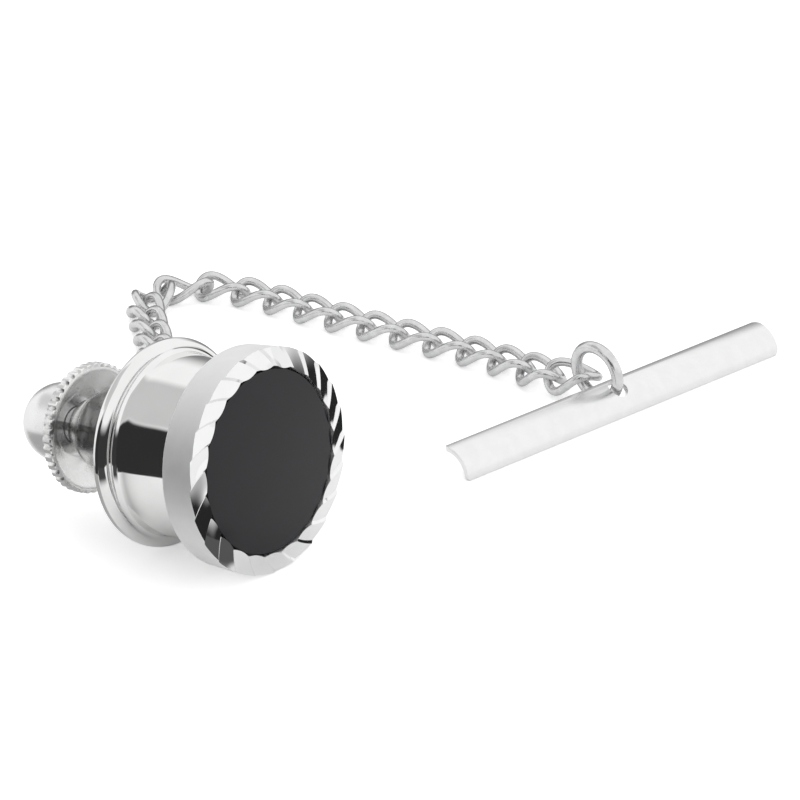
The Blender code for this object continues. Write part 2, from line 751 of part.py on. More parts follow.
root = bpy.data.objects.new("tie_pin", None)
collection.objects.link(root)
root.location = (HEAD_X * MM, HEAD_Y * MM, 0.0)

axis = Vector((
    math.sin(TACK_AZIMUTH) * math.cos(TACK_TILT),
    -math.cos(TACK_AZIMUTH) * math.cos(TACK_TILT),
    math.sin(TACK_TILT),
))
side = Vector((math.cos(TACK_AZIMUTH), math.sin(TACK_AZIMUTH), 0.0))
tack = bpy.data.objects.new("tack_axis", None)
collection.objects.link(tack)
tack.parent = root
tack_basis = Matrix((side, axis.cross(side), axis)).transposed()
tack.matrix_local = Matrix.Translation((0.0, 0.0, HEAD_Z * MM)) @ tack_basis.to_4x4()

head_parts(tack, bezel_steel, black_onyx, post_steel)
front_shell(tack, shell_chrome)
rear_shell(tack, shell_chrome)
cone_sleeve(tack, hidden_steel)
ball_cage(tack, hidden_steel)
lock_balls(tack, ball_steel)
pull_spring(tack, spring_steel)
pull_disc(tack, disc_steel)
end_cap(tack, cap_steel)
chain_eye(tack, eye_wire)

eye_play = EYE_ARC_R - LINK_A + LINK_PITCH / 2
eye_pivot = Vector((
    EYE_REACH - EYE_ARC_R + eye_play * math.cos(EYE_PULL), eye_play * math.sin(EYE_PULL), 0.0,
))
tack_in_mm = tack_basis.to_4x4()
tack_in_mm.translation = (0.0, 0.0, HEAD_Z)
chain_start = tack_in_mm @ (eye_frame() @ eye_pivot)
chain(root, chain_wire, chain_start)
jump_ring(root, ring_wire)
toggle_bar(root, bar_steel)

for obj in collection.objects:
    if obj.type == "MESH" and obj.modifiers:
        bake(obj)
        outward(obj.data)
        smooth(obj.data)
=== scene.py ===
"""Looks of the tie pin: finer pieces on the CAD's own frames, their materials, and a pale studio.

Sizes and places are in millimetres and are turned into metres where they are used. The tack's
pieces are drawn along its axis: s is 0 at the head's front rim and falls towards the tail, and
r is the distance from that axis.
"""

import math

import bmesh
import bpy
from mathutils import Matrix, Vector


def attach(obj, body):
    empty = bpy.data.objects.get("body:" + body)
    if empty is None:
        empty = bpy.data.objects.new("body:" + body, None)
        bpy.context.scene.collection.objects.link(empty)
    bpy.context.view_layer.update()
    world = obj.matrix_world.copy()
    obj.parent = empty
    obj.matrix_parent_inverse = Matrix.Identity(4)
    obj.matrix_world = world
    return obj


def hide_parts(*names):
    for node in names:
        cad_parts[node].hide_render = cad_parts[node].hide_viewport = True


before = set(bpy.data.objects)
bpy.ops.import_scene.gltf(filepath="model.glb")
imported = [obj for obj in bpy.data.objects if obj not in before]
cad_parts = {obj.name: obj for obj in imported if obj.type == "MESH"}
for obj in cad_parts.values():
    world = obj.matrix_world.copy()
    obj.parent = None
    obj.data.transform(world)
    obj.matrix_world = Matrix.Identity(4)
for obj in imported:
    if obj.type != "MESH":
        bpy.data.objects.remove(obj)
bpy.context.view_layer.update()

MM = 0.001
WELD = 1e-7

# The CAD's placing of the tack, the chain, the ring and the bar
HEAD_X = -7.614
HEAD_Y = -20.115
TACK_AZIMUTH = math.radians(49.5)
HEAD_R = 6.0
TACK_TILT = math.asin(0.445 / 7.0)
HEAD_Z = HEAD_R * math.cos(TACK_TILT) + 0.016
EYE_S = -9.0
EYE_TURN = math.radians(-35.0)
EYE_ARC_R = 0.85
EYE_WIRE_R = 0.25
EYE_REACH = 1.35
EYE_PULL = math.radians(-26.0)
LINK_WIRE_R = 0.25
LINK_A = 1.61
LINK_B = 0.9
LINK_C = 0.48
LINK_PITCH = 2.5
LINKS = 27
CHAIN_Z = LINK_C + LINK_WIRE_R
CHAIN_ROUTE = (
    (-5.6, 11.2, 1.9), (-6.15, 14.0, 1.2), (-6.4, 18.0, 0.85), (-6.5, 23.0, CHAIN_Z),
    (-6.65, 28.0, CHAIN_Z), (-7.1, 33.6, CHAIN_Z), (-7.4, 36.05, CHAIN_Z), (-7.72, 38.5, CHAIN_Z),
    (-7.92, 40.95, CHAIN_Z), (-7.02, 43.2, CHAIN_Z), (-4.68, 43.96, CHAIN_Z),
    (-2.5, 42.85, CHAIN_Z), (-0.55, 41.3, CHAIN_Z), (3.04, 37.8, CHAIN_Z),
    (6.8, 34.45, CHAIN_Z), (10.5, 31.25, CHAIN_Z),
    (12.4, 29.3, 0.76), (13.98, 27.25, 0.88), (15.5, 25.17, 1.06), (17.51, 23.76, 1.49),
)
FIRST_ROLLS = (74.0, 56.0, 38.0, 22.0, 8.0)
LAST_ROLLS = (4.0, 13.0, 25.0)
RING_WIRE_R = 0.33
RING_R = 1.52
RING_CENTRE = (17.864, 22.894, 2.06)
RING_NORMAL = (0.7007, 0.7027, 0.1238)
BAR_START = (10.43, 11.89)
BAR_AZIMUTH = math.radians(46.0)
BAR_ROLL = math.radians(43.2)
BAR_LENGTH = 26.0
BAR_WIDTH = 2.39
BAR_RISE = 0.52
BAR_SHEET = 0.28
BAR_ARC_R = (BAR_WIDTH * BAR_WIDTH / 4.0 + BAR_RISE * BAR_RISE) / (2.0 * BAR_RISE)
BAR_CORNER_R = 0.35
BAR_NEAR_CORNER_R = 0.15
BAR_HOLE_AT = 13.19
BAR_HOLE_ACROSS = 0.377
BAR_HOLE_R = 0.58
BAR_EASE = 0.02

# Fineness of the looks
TURN_STEPS = 192
CURVE_STEPS = 5
ROUTE_STEPS = 24
WIRE_SIDES = 16
RING_SIDES = 20
RING_POINTS = 96
LINK_POINTS = 64
HOLE_SIDES = 64
STONE_EASE_STEPS = 4
DRUM_CORNER_STEPS = 8
CAP_STEPS = 24
CAP_INNER_STEPS = 12


def arc(centre_r, centre_s, radius, start, end, steps):
    """Points on an arc, with angles in degrees from the outward direction."""
    points = []
    for i in range(steps + 1):
        angle = math.radians(start + (end - start) * i / steps)
        points.append((centre_r + radius * math.cos(angle), centre_s + radius * math.sin(angle)))
    return points


def through(points, steps=CURVE_STEPS):
    """A smooth curve that runs through the points."""
    fine = []
    ends = [points[0] * 2 - points[1], *points, points[-1] * 2 - points[-2]]
    for p0, p1, p2, p3 in zip(ends, ends[1:], ends[2:], ends[3:]):
        for i in range(steps):
            t = i / steps
            fine.append(
                0.5 * (2 * p1 + (p2 - p0) * t + (2 * p0 - 5 * p1 + 4 * p2 - p3) * t * t
                       + (3 * p1 - p0 - 3 * p2 + p3) * t * t * t)
            )
    fine.append(points[-1])
    return fine


def through_profile(points):
    return [(p.x, p.y) for p in through([Vector(p) for p in points])]


def new_piece(name, mesh, matrix, look, body, nodes):
    mesh.transform(matrix)
    obj = bpy.data.objects.new(name, mesh)
    bpy.context.scene.collection.objects.link(obj)
    mesh.materials.clear()
    mesh.materials.append(look)
    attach(obj, body)
    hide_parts(*nodes)


def from_rows(name, rows, rows_closed=False, sharp=30.0):
    """A mesh skinned over closed rows of points, given in millimetres."""
    count = len(rows[0])
    vertices = [Vector(p) * MM for row in rows for p in row]
    faces = []
    row_ends = len(rows) if rows_closed else len(rows) - 1
    for i in range(row_ends):
        below = (i + 1) % len(rows)
        for j in range(count):
            k = (j + 1) % count
            faces.append((i * count + j, below * count + j, below * count + k, i * count + k))
    mesh = bpy.data.meshes.new(name)
    mesh.from_pydata(vertices, [], faces)
    work = bmesh.new()
    work.from_mesh(mesh)
    bmesh.ops.remove_doubles(work, verts=work.verts, dist=WELD)
    bmesh.ops.recalc_face_normals(work, faces=work.faces)
    if work.calc_volume(signed=True) < 0:
        bmesh.ops.reverse_faces(work, faces=work.faces)
    work.to_mesh(mesh)
    work.free()
    mesh.shade_smooth()
    mesh.set_sharp_from_angle(angle=math.radians(sharp))
    return mesh


def turned(name, profile, sharp=30.0):
    """A mesh turned from a profile of (r, s) points; a point at r 0 closes the solid."""
    rows = []
    for r, s in profile:
        row = []
        for i in range(TURN_STEPS):
            angle = 2.0 * math.pi * i / TURN_STEPS
            row.append((r * math.cos(angle), r * math.sin(angle), s))
        rows.append(row)
    return from_rows(name, rows, profile[0][0] > 0.0, sharp)


def tube(name, points, radius, closed, sides=WIRE_SIDES):
    """A round wire along the points. Its section is carried along without twisting."""
    points = [Vector(p) for p in points]
    count = len(points)
    tangents = []
    for i in range(count):
        if closed:
            tangents.append((points[(i + 1) % count] - points[i - 1]).normalized())
        else:
            tangents.append((points[min(i + 1, count - 1)] - points[max(i - 1, 0)]).normalized())
    normal = tangents[0].orthogonal().normalized()
    normals = [normal]
    for i in range(1, count):
        turn = tangents[i - 1].rotation_difference(tangents[i])
        normal = (turn @ normals[-1]).normalized()
        normals.append(normal)
    drift = 0.0
    if closed:
        turn = tangents[-1].rotation_difference(tangents[0])
        back = (turn @ normals[-1]).normalized()
        side = tangents[0].cross(normals[0])
        drift = math.atan2(back.dot(side), back.dot(normals[0]))
    rows = []
    for i in range(count):
        side = tangents[i].cross(normals[i])
        row = []
        for j in range(sides):
            angle = 2.0 * math.pi * j / sides - drift * i / count
            row.append(points[i] + (normals[i] * math.cos(angle) + side * math.sin(angle)) * radius)
        rows.append(row)
    if not closed:
        rows = [[points[0]] * sides, *rows, [points[-1]] * sides]
    return from_rows(name, rows, closed, 50.0)


# Looks of plated metal: where its patches of grey and polish begin and end in the noise
PATCH_START = 0.35
PATCH_END = 0.65
PATCH_DETAIL = 3.0
RELIEF_DETAIL = 2.0
RELIEF_FINER = 4.0


def nodes_of(material):
    material.use_nodes = True
    tree = material.node_tree
    return tree, tree.nodes["Principled BSDF"]


def metal(name, dark, light, roughness, grain, spread, bump=0.0):
    """Plated metal: its grey and its polish wander a little, over patches of the grain's size."""
    look = bpy.data.materials.new(name)
    tree, shader = nodes_of(look)
    shader.inputs["Metallic"].default_value = 1.0
    place = tree.nodes.new("ShaderNodeTexCoord")
    patches = tree.nodes.new("ShaderNodeTexNoise")
    patches.inputs["Scale"].default_value = 1.0 / (grain * MM)
    patches.inputs["Detail"].default_value = PATCH_DETAIL
    tree.links.new(place.outputs["Object"], patches.inputs["Vector"])
    colour = tree.nodes.new("ShaderNodeValToRGB")
    colour.color_ramp.elements[0].position = PATCH_START
    colour.color_ramp.elements[0].color = (*dark, 1.0)
    colour.color_ramp.elements[1].position = PATCH_END
    colour.color_ramp.elements[1].color = (*light, 1.0)
    tree.links.new(patches.outputs["Fac"], colour.inputs["Fac"])
    tree.links.new(colour.outputs["Color"], shader.inputs["Base Color"])
    polish = tree.nodes.new("ShaderNodeMapRange")
    polish.inputs["From Min"].default_value = PATCH_START
    polish.inputs["From Max"].default_value = PATCH_END
    polish.inputs["To Min"].default_value = max(roughness - spread, 0.02)
    polish.inputs["To Max"].default_value = roughness + spread
    tree.links.new(patches.outputs["Fac"], polish.inputs["Value"])
    tree.links.new(polish.outputs["Result"], shader.inputs["Roughness"])
    if bump > 0.0:
        height = tree.nodes.new("ShaderNodeTexNoise")
        height.inputs["Scale"].default_value = RELIEF_FINER / (grain * MM)
        height.inputs["Detail"].default_value = RELIEF_DETAIL
        tree.links.new(place.outputs["Object"], height.inputs["Vector"])
        relief = tree.nodes.new("ShaderNodeBump")
        relief.inputs["Strength"].default_value = 1.0
        relief.inputs["Distance"].default_value = bump * MM
        tree.links.new(height.outputs["Fac"], relief.inputs["Height"])
        tree.links.new(relief.outputs["Normal"], shader.inputs["Normal"])
    return look


def stone_look():
    look = bpy.data.materials.new("onyx_look")
    tree, shader = nodes_of(look)
    place = tree.nodes.new("ShaderNodeTexCoord")
    cloud = tree.nodes.new("ShaderNodeTexNoise")
    cloud.inputs["Scale"].default_value = 1.0 / (1.5 * MM)
    cloud.inputs["Detail"].default_value = 4.0
    tree.links.new(place.outputs["Object"], cloud.inputs["Vector"])
    colour = tree.nodes.new("ShaderNodeValToRGB")
    colour.color_ramp.elements[0].position = 0.3
    colour.color_ramp.elements[0].color = (0.0040, 0.0038, 0.0060, 1.0)
    colour.color_ramp.elements[1].position = 0.7
    colour.color_ramp.elements[1].color = (0.0055, 0.0050, 0.0080, 1.0)
    tree.links.new(cloud.outputs["Fac"], colour.inputs["Fac"])
    tree.links.new(colour.outputs["Color"], shader.inputs["Base Color"])
    shader.inputs["Roughness"].default_value = 0.22
    shader.inputs["Specular IOR Level"].default_value = 0.42
    return look


# Frames of the CAD
root = Matrix.Translation(Vector((HEAD_X, HEAD_Y, 0.0)) * MM)
axis = Vector((
    math.sin(TACK_AZIMUTH) * math.cos(TACK_TILT),
    -math.cos(TACK_AZIMUTH) * math.cos(TACK_TILT),
    math.sin(TACK_TILT),
))
side = Vector((math.cos(TACK_AZIMUTH), math.sin(TACK_AZIMUTH), 0.0))
tack_basis = Matrix((side, axis.cross(side), axis)).transposed()
tack = root @ Matrix.Translation((0.0, 0.0, HEAD_Z * MM)) @ tack_basis.to_4x4()

# Looks
head_look = metal("head_look", (0.92, 0.92, 0.92), (0.95, 0.95, 0.95), 0.70, 1.2, 0.03)
shell_look = metal("shell_look", (0.87, 0.87, 0.865), (0.91, 0.91, 0.905), 0.05, 2.0, 0.015)
disc_look = metal("disc_look", (0.89, 0.89, 0.885), (0.93, 0.93, 0.925), 0.26, 1.0, 0.03)
cap_look = metal("cap_look", (0.88, 0.88, 0.88), (0.92, 0.92, 0.92), 0.26, 1.2, 0.03)
wire_look = metal("wire_look", (0.66, 0.66, 0.665), (0.78, 0.78, 0.785), 0.24, 0.5, 0.05, 0.004)
ring_look = metal("ring_look", (0.68, 0.68, 0.685), (0.80, 0.80, 0.805), 0.22, 0.5, 0.05, 0.003)
bar_look = metal("bar_look", (0.89, 0.89, 0.89), (0.92, 0.92, 0.92), 0.22, 0.8, 0.01)
post_look = metal("post_look", (0.70, 0.70, 0.70), (0.78, 0.78, 0.78), 0.22, 0.6, 0.04)
inner_look = metal("inner_look", (0.50, 0.50, 0.50), (0.60, 0.60, 0.60), 0.34, 0.7, 0.05)
ball_look = metal("ball_look", (0.74, 0.74, 0.74), (0.80, 0.80, 0.80), 0.10, 0.4, 0.02)
spring_look = metal("spring_look", (0.46, 0.46, 0.47), (0.56, 0.56, 0.57), 0.30, 0.4, 0.05)
onyx_look = stone_look()

# The head's satin wall and its bright facets
FACET_ROUGHNESS = 0.05
WALL_ENDS = 0.55
FACETS_START = 0.7


def cut_brightly(look):
    """Polish the faces that look along the tack's axis, as the cutter leaves the facets.

    The wall keeps its satin, and both are told apart by how far a face looks along the axis.
    """
    tree, shader = nodes_of(look)
    satin = shader.inputs["Roughness"].links[0].from_socket
    place = tree.nodes.new("ShaderNodeTexCoord")
    facing = tree.nodes.new("ShaderNodeVectorMath")
    facing.operation = "DOT_PRODUCT"
    facing.inputs[1].default_value = axis
    tree.links.new(place.outputs["Normal"], facing.inputs[0])
    mask = tree.nodes.new("ShaderNodeMapRange")
    mask.inputs["From Min"].default_value = WALL_ENDS
    mask.inputs["From Max"].default_value = FACETS_START
    tree.links.new(facing.outputs["Value"], mask.inputs["Value"])
    mixed = tree.nodes.new("ShaderNodeMix")
    mixed.data_type = "FLOAT"
    tree.links.new(mask.outputs["Result"], mixed.inputs["Factor"])
    tree.links.new(satin, mixed.inputs["A"])
    mixed.inputs["B"].default_value = FACET_ROUGHNESS
    tree.links.new(mixed.outputs["Result"], shader.inputs["Roughness"])


cut_brightly(head_look)

# Head: the cup and its ring of slanting facets
HEAD_BACK_S = -2.17
HEAD_BACK_R = 5.86
HEAD_EDGE = 0.12
FACETS = 24
FACET_SWIRL = math.radians(-10.0)
FACET_WIDE = 0.85
FACET_PHASE = math.radians(-1.0)
OUTER_STEP = 0.13
INNER_STEP = 0.10
INNER_SCALLOP = 0.12
INNER_UNDERCUT = 0.25
INNER_RISE = 0.10
STONE_R = 4.98
STONE_S = 0.02
STONE_DEPTH = 0.95
STONE_GAP = 0.04
STONE_EASE = 0.03
STONE_GROOVE = 0.12
STONE_GROOVE_DEPTH = 0.3
PAD_R = 1.9
PAD_GAP = 0.04
PAD_DEPTH = 0.4
HEAD_EDGE_STEPS = 5
WALL_ROWS = 5
FACET_COLUMNS = 8
FACET_ROWS = 6


def head_mesh():
    pitch = 2.0 * math.pi / FACETS
    columns = []
    for i in range(FACETS):
        for j in range(FACET_COLUMNS + 1):
            along = j / FACET_COLUMNS
            columns.append((FACET_PHASE + pitch * (i + FACET_WIDE * along), along - 0.5))

    def ring(radius, s, swirl=0.0, step=0.0, scallop=0.0):
        row = []
        for angle, tooth in columns:
            r = radius - scallop * (1.0 - 4.0 * tooth * tooth)
            row.append((r * math.cos(angle + swirl), r * math.sin(angle + swirl), s + step * tooth))
        return row

    pocket = STONE_R + STONE_GAP
    pad_pocket = PAD_R + PAD_GAP
    rows = [ring(pad_pocket, HEAD_BACK_S + PAD_DEPTH), ring(pad_pocket, HEAD_BACK_S)]
    edge = arc(
        HEAD_BACK_R - HEAD_EDGE, HEAD_BACK_S + HEAD_EDGE, HEAD_EDGE, 270, 360, HEAD_EDGE_STEPS,
    )
    rows += [ring(r, s) for r, s in edge]
    outer_s = -OUTER_STEP / 2
    for i in range(1, WALL_ROWS + 1):
        t = i / WALL_ROWS
        s = HEAD_BACK_S + HEAD_EDGE + (outer_s - HEAD_BACK_S - HEAD_EDGE) * t
        rows.append(ring(HEAD_BACK_R + (HEAD_R - HEAD_BACK_R) * t, s, 0.0, OUTER_STEP * t ** 4))
    for i in range(1, FACET_ROWS + 1):
        t = i / FACET_ROWS
        rows.append(ring(
            HEAD_R + (pocket - HEAD_R) * t, outer_s + (INNER_RISE - outer_s) * t,
            FACET_SWIRL * t, OUTER_STEP + (INNER_STEP - OUTER_STEP) * t, INNER_SCALLOP * t,
        ))
    rows.append(ring(pocket, INNER_RISE - INNER_UNDERCUT, FACET_SWIRL))
    rows.append(ring(pocket, STONE_S - STONE_DEPTH, FACET_SWIRL))
    rows.append([(0.0, 0.0, STONE_S - STONE_DEPTH)] * len(columns))
    rows.insert(0, [(0.0, 0.0, HEAD_BACK_S + PAD_DEPTH)] * len(columns))
    return from_rows("head_bezel_look", rows, sharp=11.0)


new_piece("head_bezel_look", head_mesh(), tack, head_look, "tack", ["head_bezel"])

stone_edge_r = STONE_R - STONE_GROOVE
stone = [(0.0, STONE_S)]
stone += arc(
    stone_edge_r - STONE_EASE, STONE_S - STONE_EASE, STONE_EASE, 90, 0, STONE_EASE_STEPS,
)
stone += [(stone_edge_r, STONE_S - STONE_GROOVE_DEPTH), (STONE_R, STONE_S - STONE_GROOVE_DEPTH)]
stone += [(STONE_R, STONE_S - STONE_DEPTH), (0.0, STONE_S - STONE_DEPTH)]
new_piece(
    "onyx_look_inlay", turned("onyx_look_inlay", stone), tack, onyx_look, "tack",
    ["onyx_inlay"],
)

# Clutch shells
DRUM_FRONT_S = -2.45
DRUM_FRONT_R = 4.72
DRUM_BACK_R = 4.82
SHELL_WALL = 0.32
DRUM_HOLE_R = 0.64
DRUM_CORNER = 0.3
RIM_BACK_S = -7.42
RIM_LIP_R = 5.14
RIM_LIP_DEPTH = 0.12
CONE_EDGE_R = 5.2
CONE_GAP = 0.04
CONE_EDGE_S = -6.95
NECK_HOLE_R = 1.1
NECK_END_S = -12.85
SPRING_SEAT_S = -11.25
FLANGE_R = 5.555
FLANGE_S = -7.0


def front_shell_mesh():
    front = arc(
        DRUM_FRONT_R - DRUM_CORNER, DRUM_FRONT_S - DRUM_CORNER, DRUM_CORNER, 90, 0,
        DRUM_CORNER_STEPS,
    )
    swell = through_profile([
        (DRUM_FRONT_R, DRUM_FRONT_S - DRUM_CORNER), (4.76, -4.2), (DRUM_BACK_R, -5.5),
        (4.83, -6.0), (4.86, -6.28), (4.93, -6.42), (5.03, -6.48), (5.14, -6.5), (5.26, -6.54),
        (5.39, -6.63), (5.49, -6.77), (5.545, -6.9), (FLANGE_R, FLANGE_S), (5.53, -7.2),
        (5.42, -7.36), (5.27, RIM_BACK_S),
    ])
    profile = [(DRUM_HOLE_R, DRUM_FRONT_S)] + front + swell[1:]
    profile += [(RIM_LIP_R, RIM_BACK_S), (RIM_LIP_R, RIM_BACK_S + RIM_LIP_DEPTH)]
    profile += [(CONE_EDGE_R + CONE_GAP, RIM_BACK_S + 0.18), (CONE_EDGE_R + CONE_GAP, -6.9)]
    profile += [(4.85, -6.62), (DRUM_BACK_R - SHELL_WALL, -5.9)]
    profile += [(DRUM_FRONT_R - SHELL_WALL, DRUM_FRONT_S - SHELL_WALL)]
    profile += [(DRUM_HOLE_R, DRUM_FRONT_S - SHELL_WALL)]
    return turned("front_shell_look", profile, sharp=32.0)


def rear_shell_mesh():
    outer = through_profile([
        (5.08, RIM_BACK_S - 0.06), (4.4, -8.31), (3.68, -9.3), (3.0, -10.25), (2.45, -11.05),
        (2.1, -11.6), (2.02, -11.85),
    ])
    neck = [(1.8, -11.95), (1.74, -12.3), (1.52, -12.42)]
    neck += [(1.48, NECK_END_S), (NECK_HOLE_R, NECK_END_S)]
    step_s = RIM_BACK_S + 0.22
    profile = [(CONE_EDGE_R, CONE_EDGE_S), (CONE_EDGE_R, step_s), (5.08, step_s)]
    profile += outer + neck
    profile += [(NECK_HOLE_R, SPRING_SEAT_S), (1.96, SPRING_SEAT_S), (3.28, -9.3), (4.7, -7.3)]
    profile += [(4.78, CONE_EDGE_S)]
    return turned("rear_shell_look", profile, sharp=32.0)


new_piece(
    "front_shell_look", front_shell_mesh(), tack, shell_look, "clutch",
    ["front_shell"],
)
new_piece(
    "rear_shell_look", rear_shell_mesh(), tack, shell_look, "clutch",
    ["rear_shell"],
)

# Pull disc with its knurled edge, and the end cap
DISC_R = 3.5
DISC_EDGE_S = -12.24
DISC_EDGE_BACK_S = -12.87
DISC_HUB_R = 1.85
DISC_HUB_START_S = -13.86
DISC_HUB_END_S = -14.55
DISC_BORE_R = 1.04
DISC_BORE_S = -13.62
DISC_RIM_FLAT = 0.16
DISC_RIM_EASE = 0.07
DISC_RIM_ROUND = (0.05, 0.015)
KNURL_START_DEPTH = 0.11
KNURLS = 42
KNURL_DEPTH = 0.16
KNURL_COLUMNS = 8
KNURL_FLAT = 0.45
CAP_R = 2.15
CAP_START_S = -13.86
CAP_CENTRE_S = -14.6
CAP_WALL = 0.26
CAP_EDGE = 0.07
CAP_EDGE_CUT = 0.02


def disc_mesh():
    steps = KNURLS * KNURL_COLUMNS

    def ring(radius, s, depth=0.0):
        row = []
        for i in range(steps):
            angle = 2.0 * math.pi * i / steps
            across = abs(2.0 * (i % KNURL_COLUMNS) / KNURL_COLUMNS - 1.0)
            notch = max(0.0, (across - KNURL_FLAT) / (1.0 - KNURL_FLAT))
            r = radius - depth * notch
            row.append((r * math.cos(angle), r * math.sin(angle), s))
        return row

    front = through_profile([
        (1.5, DISC_BORE_S), (1.72, -13.52), (2.15, -13.14), (2.7, -12.68), (3.1, -12.33),
        (3.26, DISC_EDGE_S),
    ])
    back = through_profile([
        (3.2, -12.92), (2.7, -13.26), (2.2, -13.66), (DISC_HUB_R, DISC_HUB_START_S),
    ])
    flat_r = DISC_R - DISC_RIM_FLAT
    round_r = DISC_R - DISC_RIM_ROUND[0]
    rows = [ring(DISC_BORE_R, DISC_BORE_S)] + [ring(r, s) for r, s in front]
    rows += [
        ring(flat_r, DISC_EDGE_S),
        ring(round_r, DISC_EDGE_S - DISC_RIM_ROUND[1], KNURL_START_DEPTH),
        ring(DISC_R, DISC_EDGE_S - DISC_RIM_EASE, KNURL_DEPTH),
        ring(DISC_R, DISC_EDGE_BACK_S + DISC_RIM_EASE, KNURL_DEPTH),
        ring(round_r, DISC_EDGE_BACK_S + DISC_RIM_ROUND[1], KNURL_START_DEPTH),
        ring(flat_r, DISC_EDGE_BACK_S),
    ]
    rows += [ring(r, s) for r, s in back]
    rows += [ring(DISC_HUB_R, DISC_HUB_END_S), ring(DISC_BORE_R, DISC_HUB_END_S)]
    return from_rows("pull_disc_look", rows, rows_closed=True, sharp=28.0)


def cap_mesh():
    inner_r = CAP_R - CAP_WALL
    profile = arc(0.0, CAP_CENTRE_S, CAP_R, 270, 360, CAP_STEPS)
    profile += [(CAP_R, CAP_START_S + CAP_EDGE)]
    profile += [(CAP_R - CAP_EDGE_CUT, CAP_START_S + CAP_EDGE_CUT)]
    profile += [(CAP_R - CAP_EDGE, CAP_START_S), (inner_r, CAP_START_S)]
    profile += arc(0.0, CAP_CENTRE_S, inner_r, 360, 270, CAP_INNER_STEPS)
    profile[0] = (0.0, CAP_CENTRE_S - CAP_R)
    profile[-1] = (0.0, CAP_CENTRE_S - inner_r)
    return turned("end_cap_look", profile)


new_piece("pull_disc_look", disc_mesh(), tack, disc_look, "pull", ["pull_disc"])
new_piece("end_cap_look", cap_mesh(), tack, cap_look, "pull", ["end_cap"])


# Chain and its eye
def cone_radius(s):
    """Radius of the rear shell's outer side at s."""
    outline = (
        (5.08, RIM_BACK_S + 0.1), (5.08, RIM_BACK_S - 0.06), (3.68, -9.3), (2.45, -11.05),
    )
    for (r0, s0), (r1, s1) in zip(outline, outline[1:]):
        if s1 <= s <= s0:
            return r0 + (r1 - r0) * (s - s0) / (s1 - s0)
    return outline[-1][0]


def eye_frame():
    """Frame of the eye in the tack's space, in millimetres."""
    slope_s = 0.4
    rise = cone_radius(EYE_S + slope_s) - cone_radius(EYE_S - slope_s)
    lean = math.atan2(rise, 2.0 * slope_s)
    foot = Vector((cone_radius(EYE_S), 0.0, EYE_S))
    out = Vector((math.cos(lean), 0.0, -math.sin(lean)))
    along = Vector((math.sin(lean), 0.0, math.cos(lean)))
    basis = Matrix((out, along, out.cross(along))).transposed()
    return Matrix.Rotation(EYE_TURN, 4, "Z") @ Matrix.Translation(foot) @ basis.to_4x4()


def eye_points():
    foot = 0.04
    middle = EYE_REACH - EYE_ARC_R
    points = [(foot, -EYE_ARC_R, 0.0)]
    steps = 30
    for i in range(steps + 1):
        angle = -math.pi / 2 + math.pi * i / steps
        points.append((middle + EYE_ARC_R * math.cos(angle), EYE_ARC_R * math.sin(angle), 0.0))
    points.append((foot, EYE_ARC_R, 0.0))
    return points


def chain_pivots(start):
    """Pivots one pitch apart along the route, from the eye to the jump ring."""
    curve = through([start, *[Vector(p) for p in CHAIN_ROUTE]], ROUTE_STEPS)
    pivots = [start]
    here = 0
    while len(pivots) <= LINKS:
        last = pivots[-1]
        while here < len(curve) - 1 and (curve[here] - last).length < LINK_PITCH:
            here += 1
        if here == len(curve) - 1:
            pivots.append(last + (curve[-1] - curve[-2]).normalized() * LINK_PITCH)
        else:
            pivots.append(last + (curve[here] - last).normalized() * LINK_PITCH)
    return pivots


def link_frame(start, end, roll):
    along = (end - start).normalized()
    across = Vector((0.0, 0.0, 1.0)).cross(along).normalized()
    basis = Matrix((along, across, along.cross(across))).transposed()
    turn = Matrix.Rotation(math.radians(roll), 4, "X")
    return Matrix.Translation(start * MM) @ basis.to_4x4() @ turn


def link_roll(index):
    if index < len(FIRST_ROLLS):
        return FIRST_ROLLS[index]
    if index >= LINKS - len(LAST_ROLLS):
        return LAST_ROLLS[index - LINKS]
    return 0.0


eye_in_metres = eye_frame()
eye_in_metres.translation *= MM
eye_mesh = tube("chain_eye_look", eye_points(), EYE_WIRE_R, False)
new_piece(
    "chain_eye_look", eye_mesh, tack @ eye_in_metres, wire_look, "clutch",
    ["chain_eye"],
)

eye_play = EYE_ARC_R - LINK_A + LINK_PITCH / 2
eye_pivot = Vector((
    EYE_REACH - EYE_ARC_R + eye_play * math.cos(EYE_PULL), eye_play * math.sin(EYE_PULL), 0.0,
))
tack_in_mm = tack_basis.to_4x4()
tack_in_mm.translation = (0.0, 0.0, HEAD_Z)
pivots = chain_pivots(tack_in_mm @ (eye_frame() @ eye_pivot))
link_points = []
for i in range(LINK_POINTS):
    t = 2.0 * math.pi * i / LINK_POINTS
    link_points.append((
        LINK_PITCH / 2 + LINK_A * math.cos(t), LINK_B * math.sin(t), -LINK_C * math.sin(2.0 * t),
    ))
link_shape = tube("link_look", link_points, LINK_WIRE_R, True)
for i in range(LINKS):
    number = f"{i + 1:02d}"
    place = root @ link_frame(pivots[i], pivots[i + 1], link_roll(i))
    new_piece(
        f"link_look_{number}", link_shape.copy(), place, wire_look, f"link_{number}_body",
        [f"link_{number}"],
    )
bpy.data.meshes.remove(link_shape)

# Jump ring
ring_points = []
for i in range(RING_POINTS):
    t = 2.0 * math.pi * i / RING_POINTS
    ring_points.append((RING_R * math.cos(t), RING_R * math.sin(t), 0.0))
normal = Vector(RING_NORMAL).normalized()
up = (Vector((0.0, 0.0, 1.0)) - normal * normal.z).normalized()
ring_basis = Matrix((up.cross(normal), up, normal)).transposed()
ring_place = root @ Matrix.Translation(Vector(RING_CENTRE) * MM) @ ring_basis.to_4x4()
ring_mesh = tube("jump_ring_look", ring_points, RING_WIRE_R, True, RING_SIDES)
new_piece(
    "jump_ring_look", ring_mesh, ring_place, ring_look, "ring", ["jump_ring"],
)

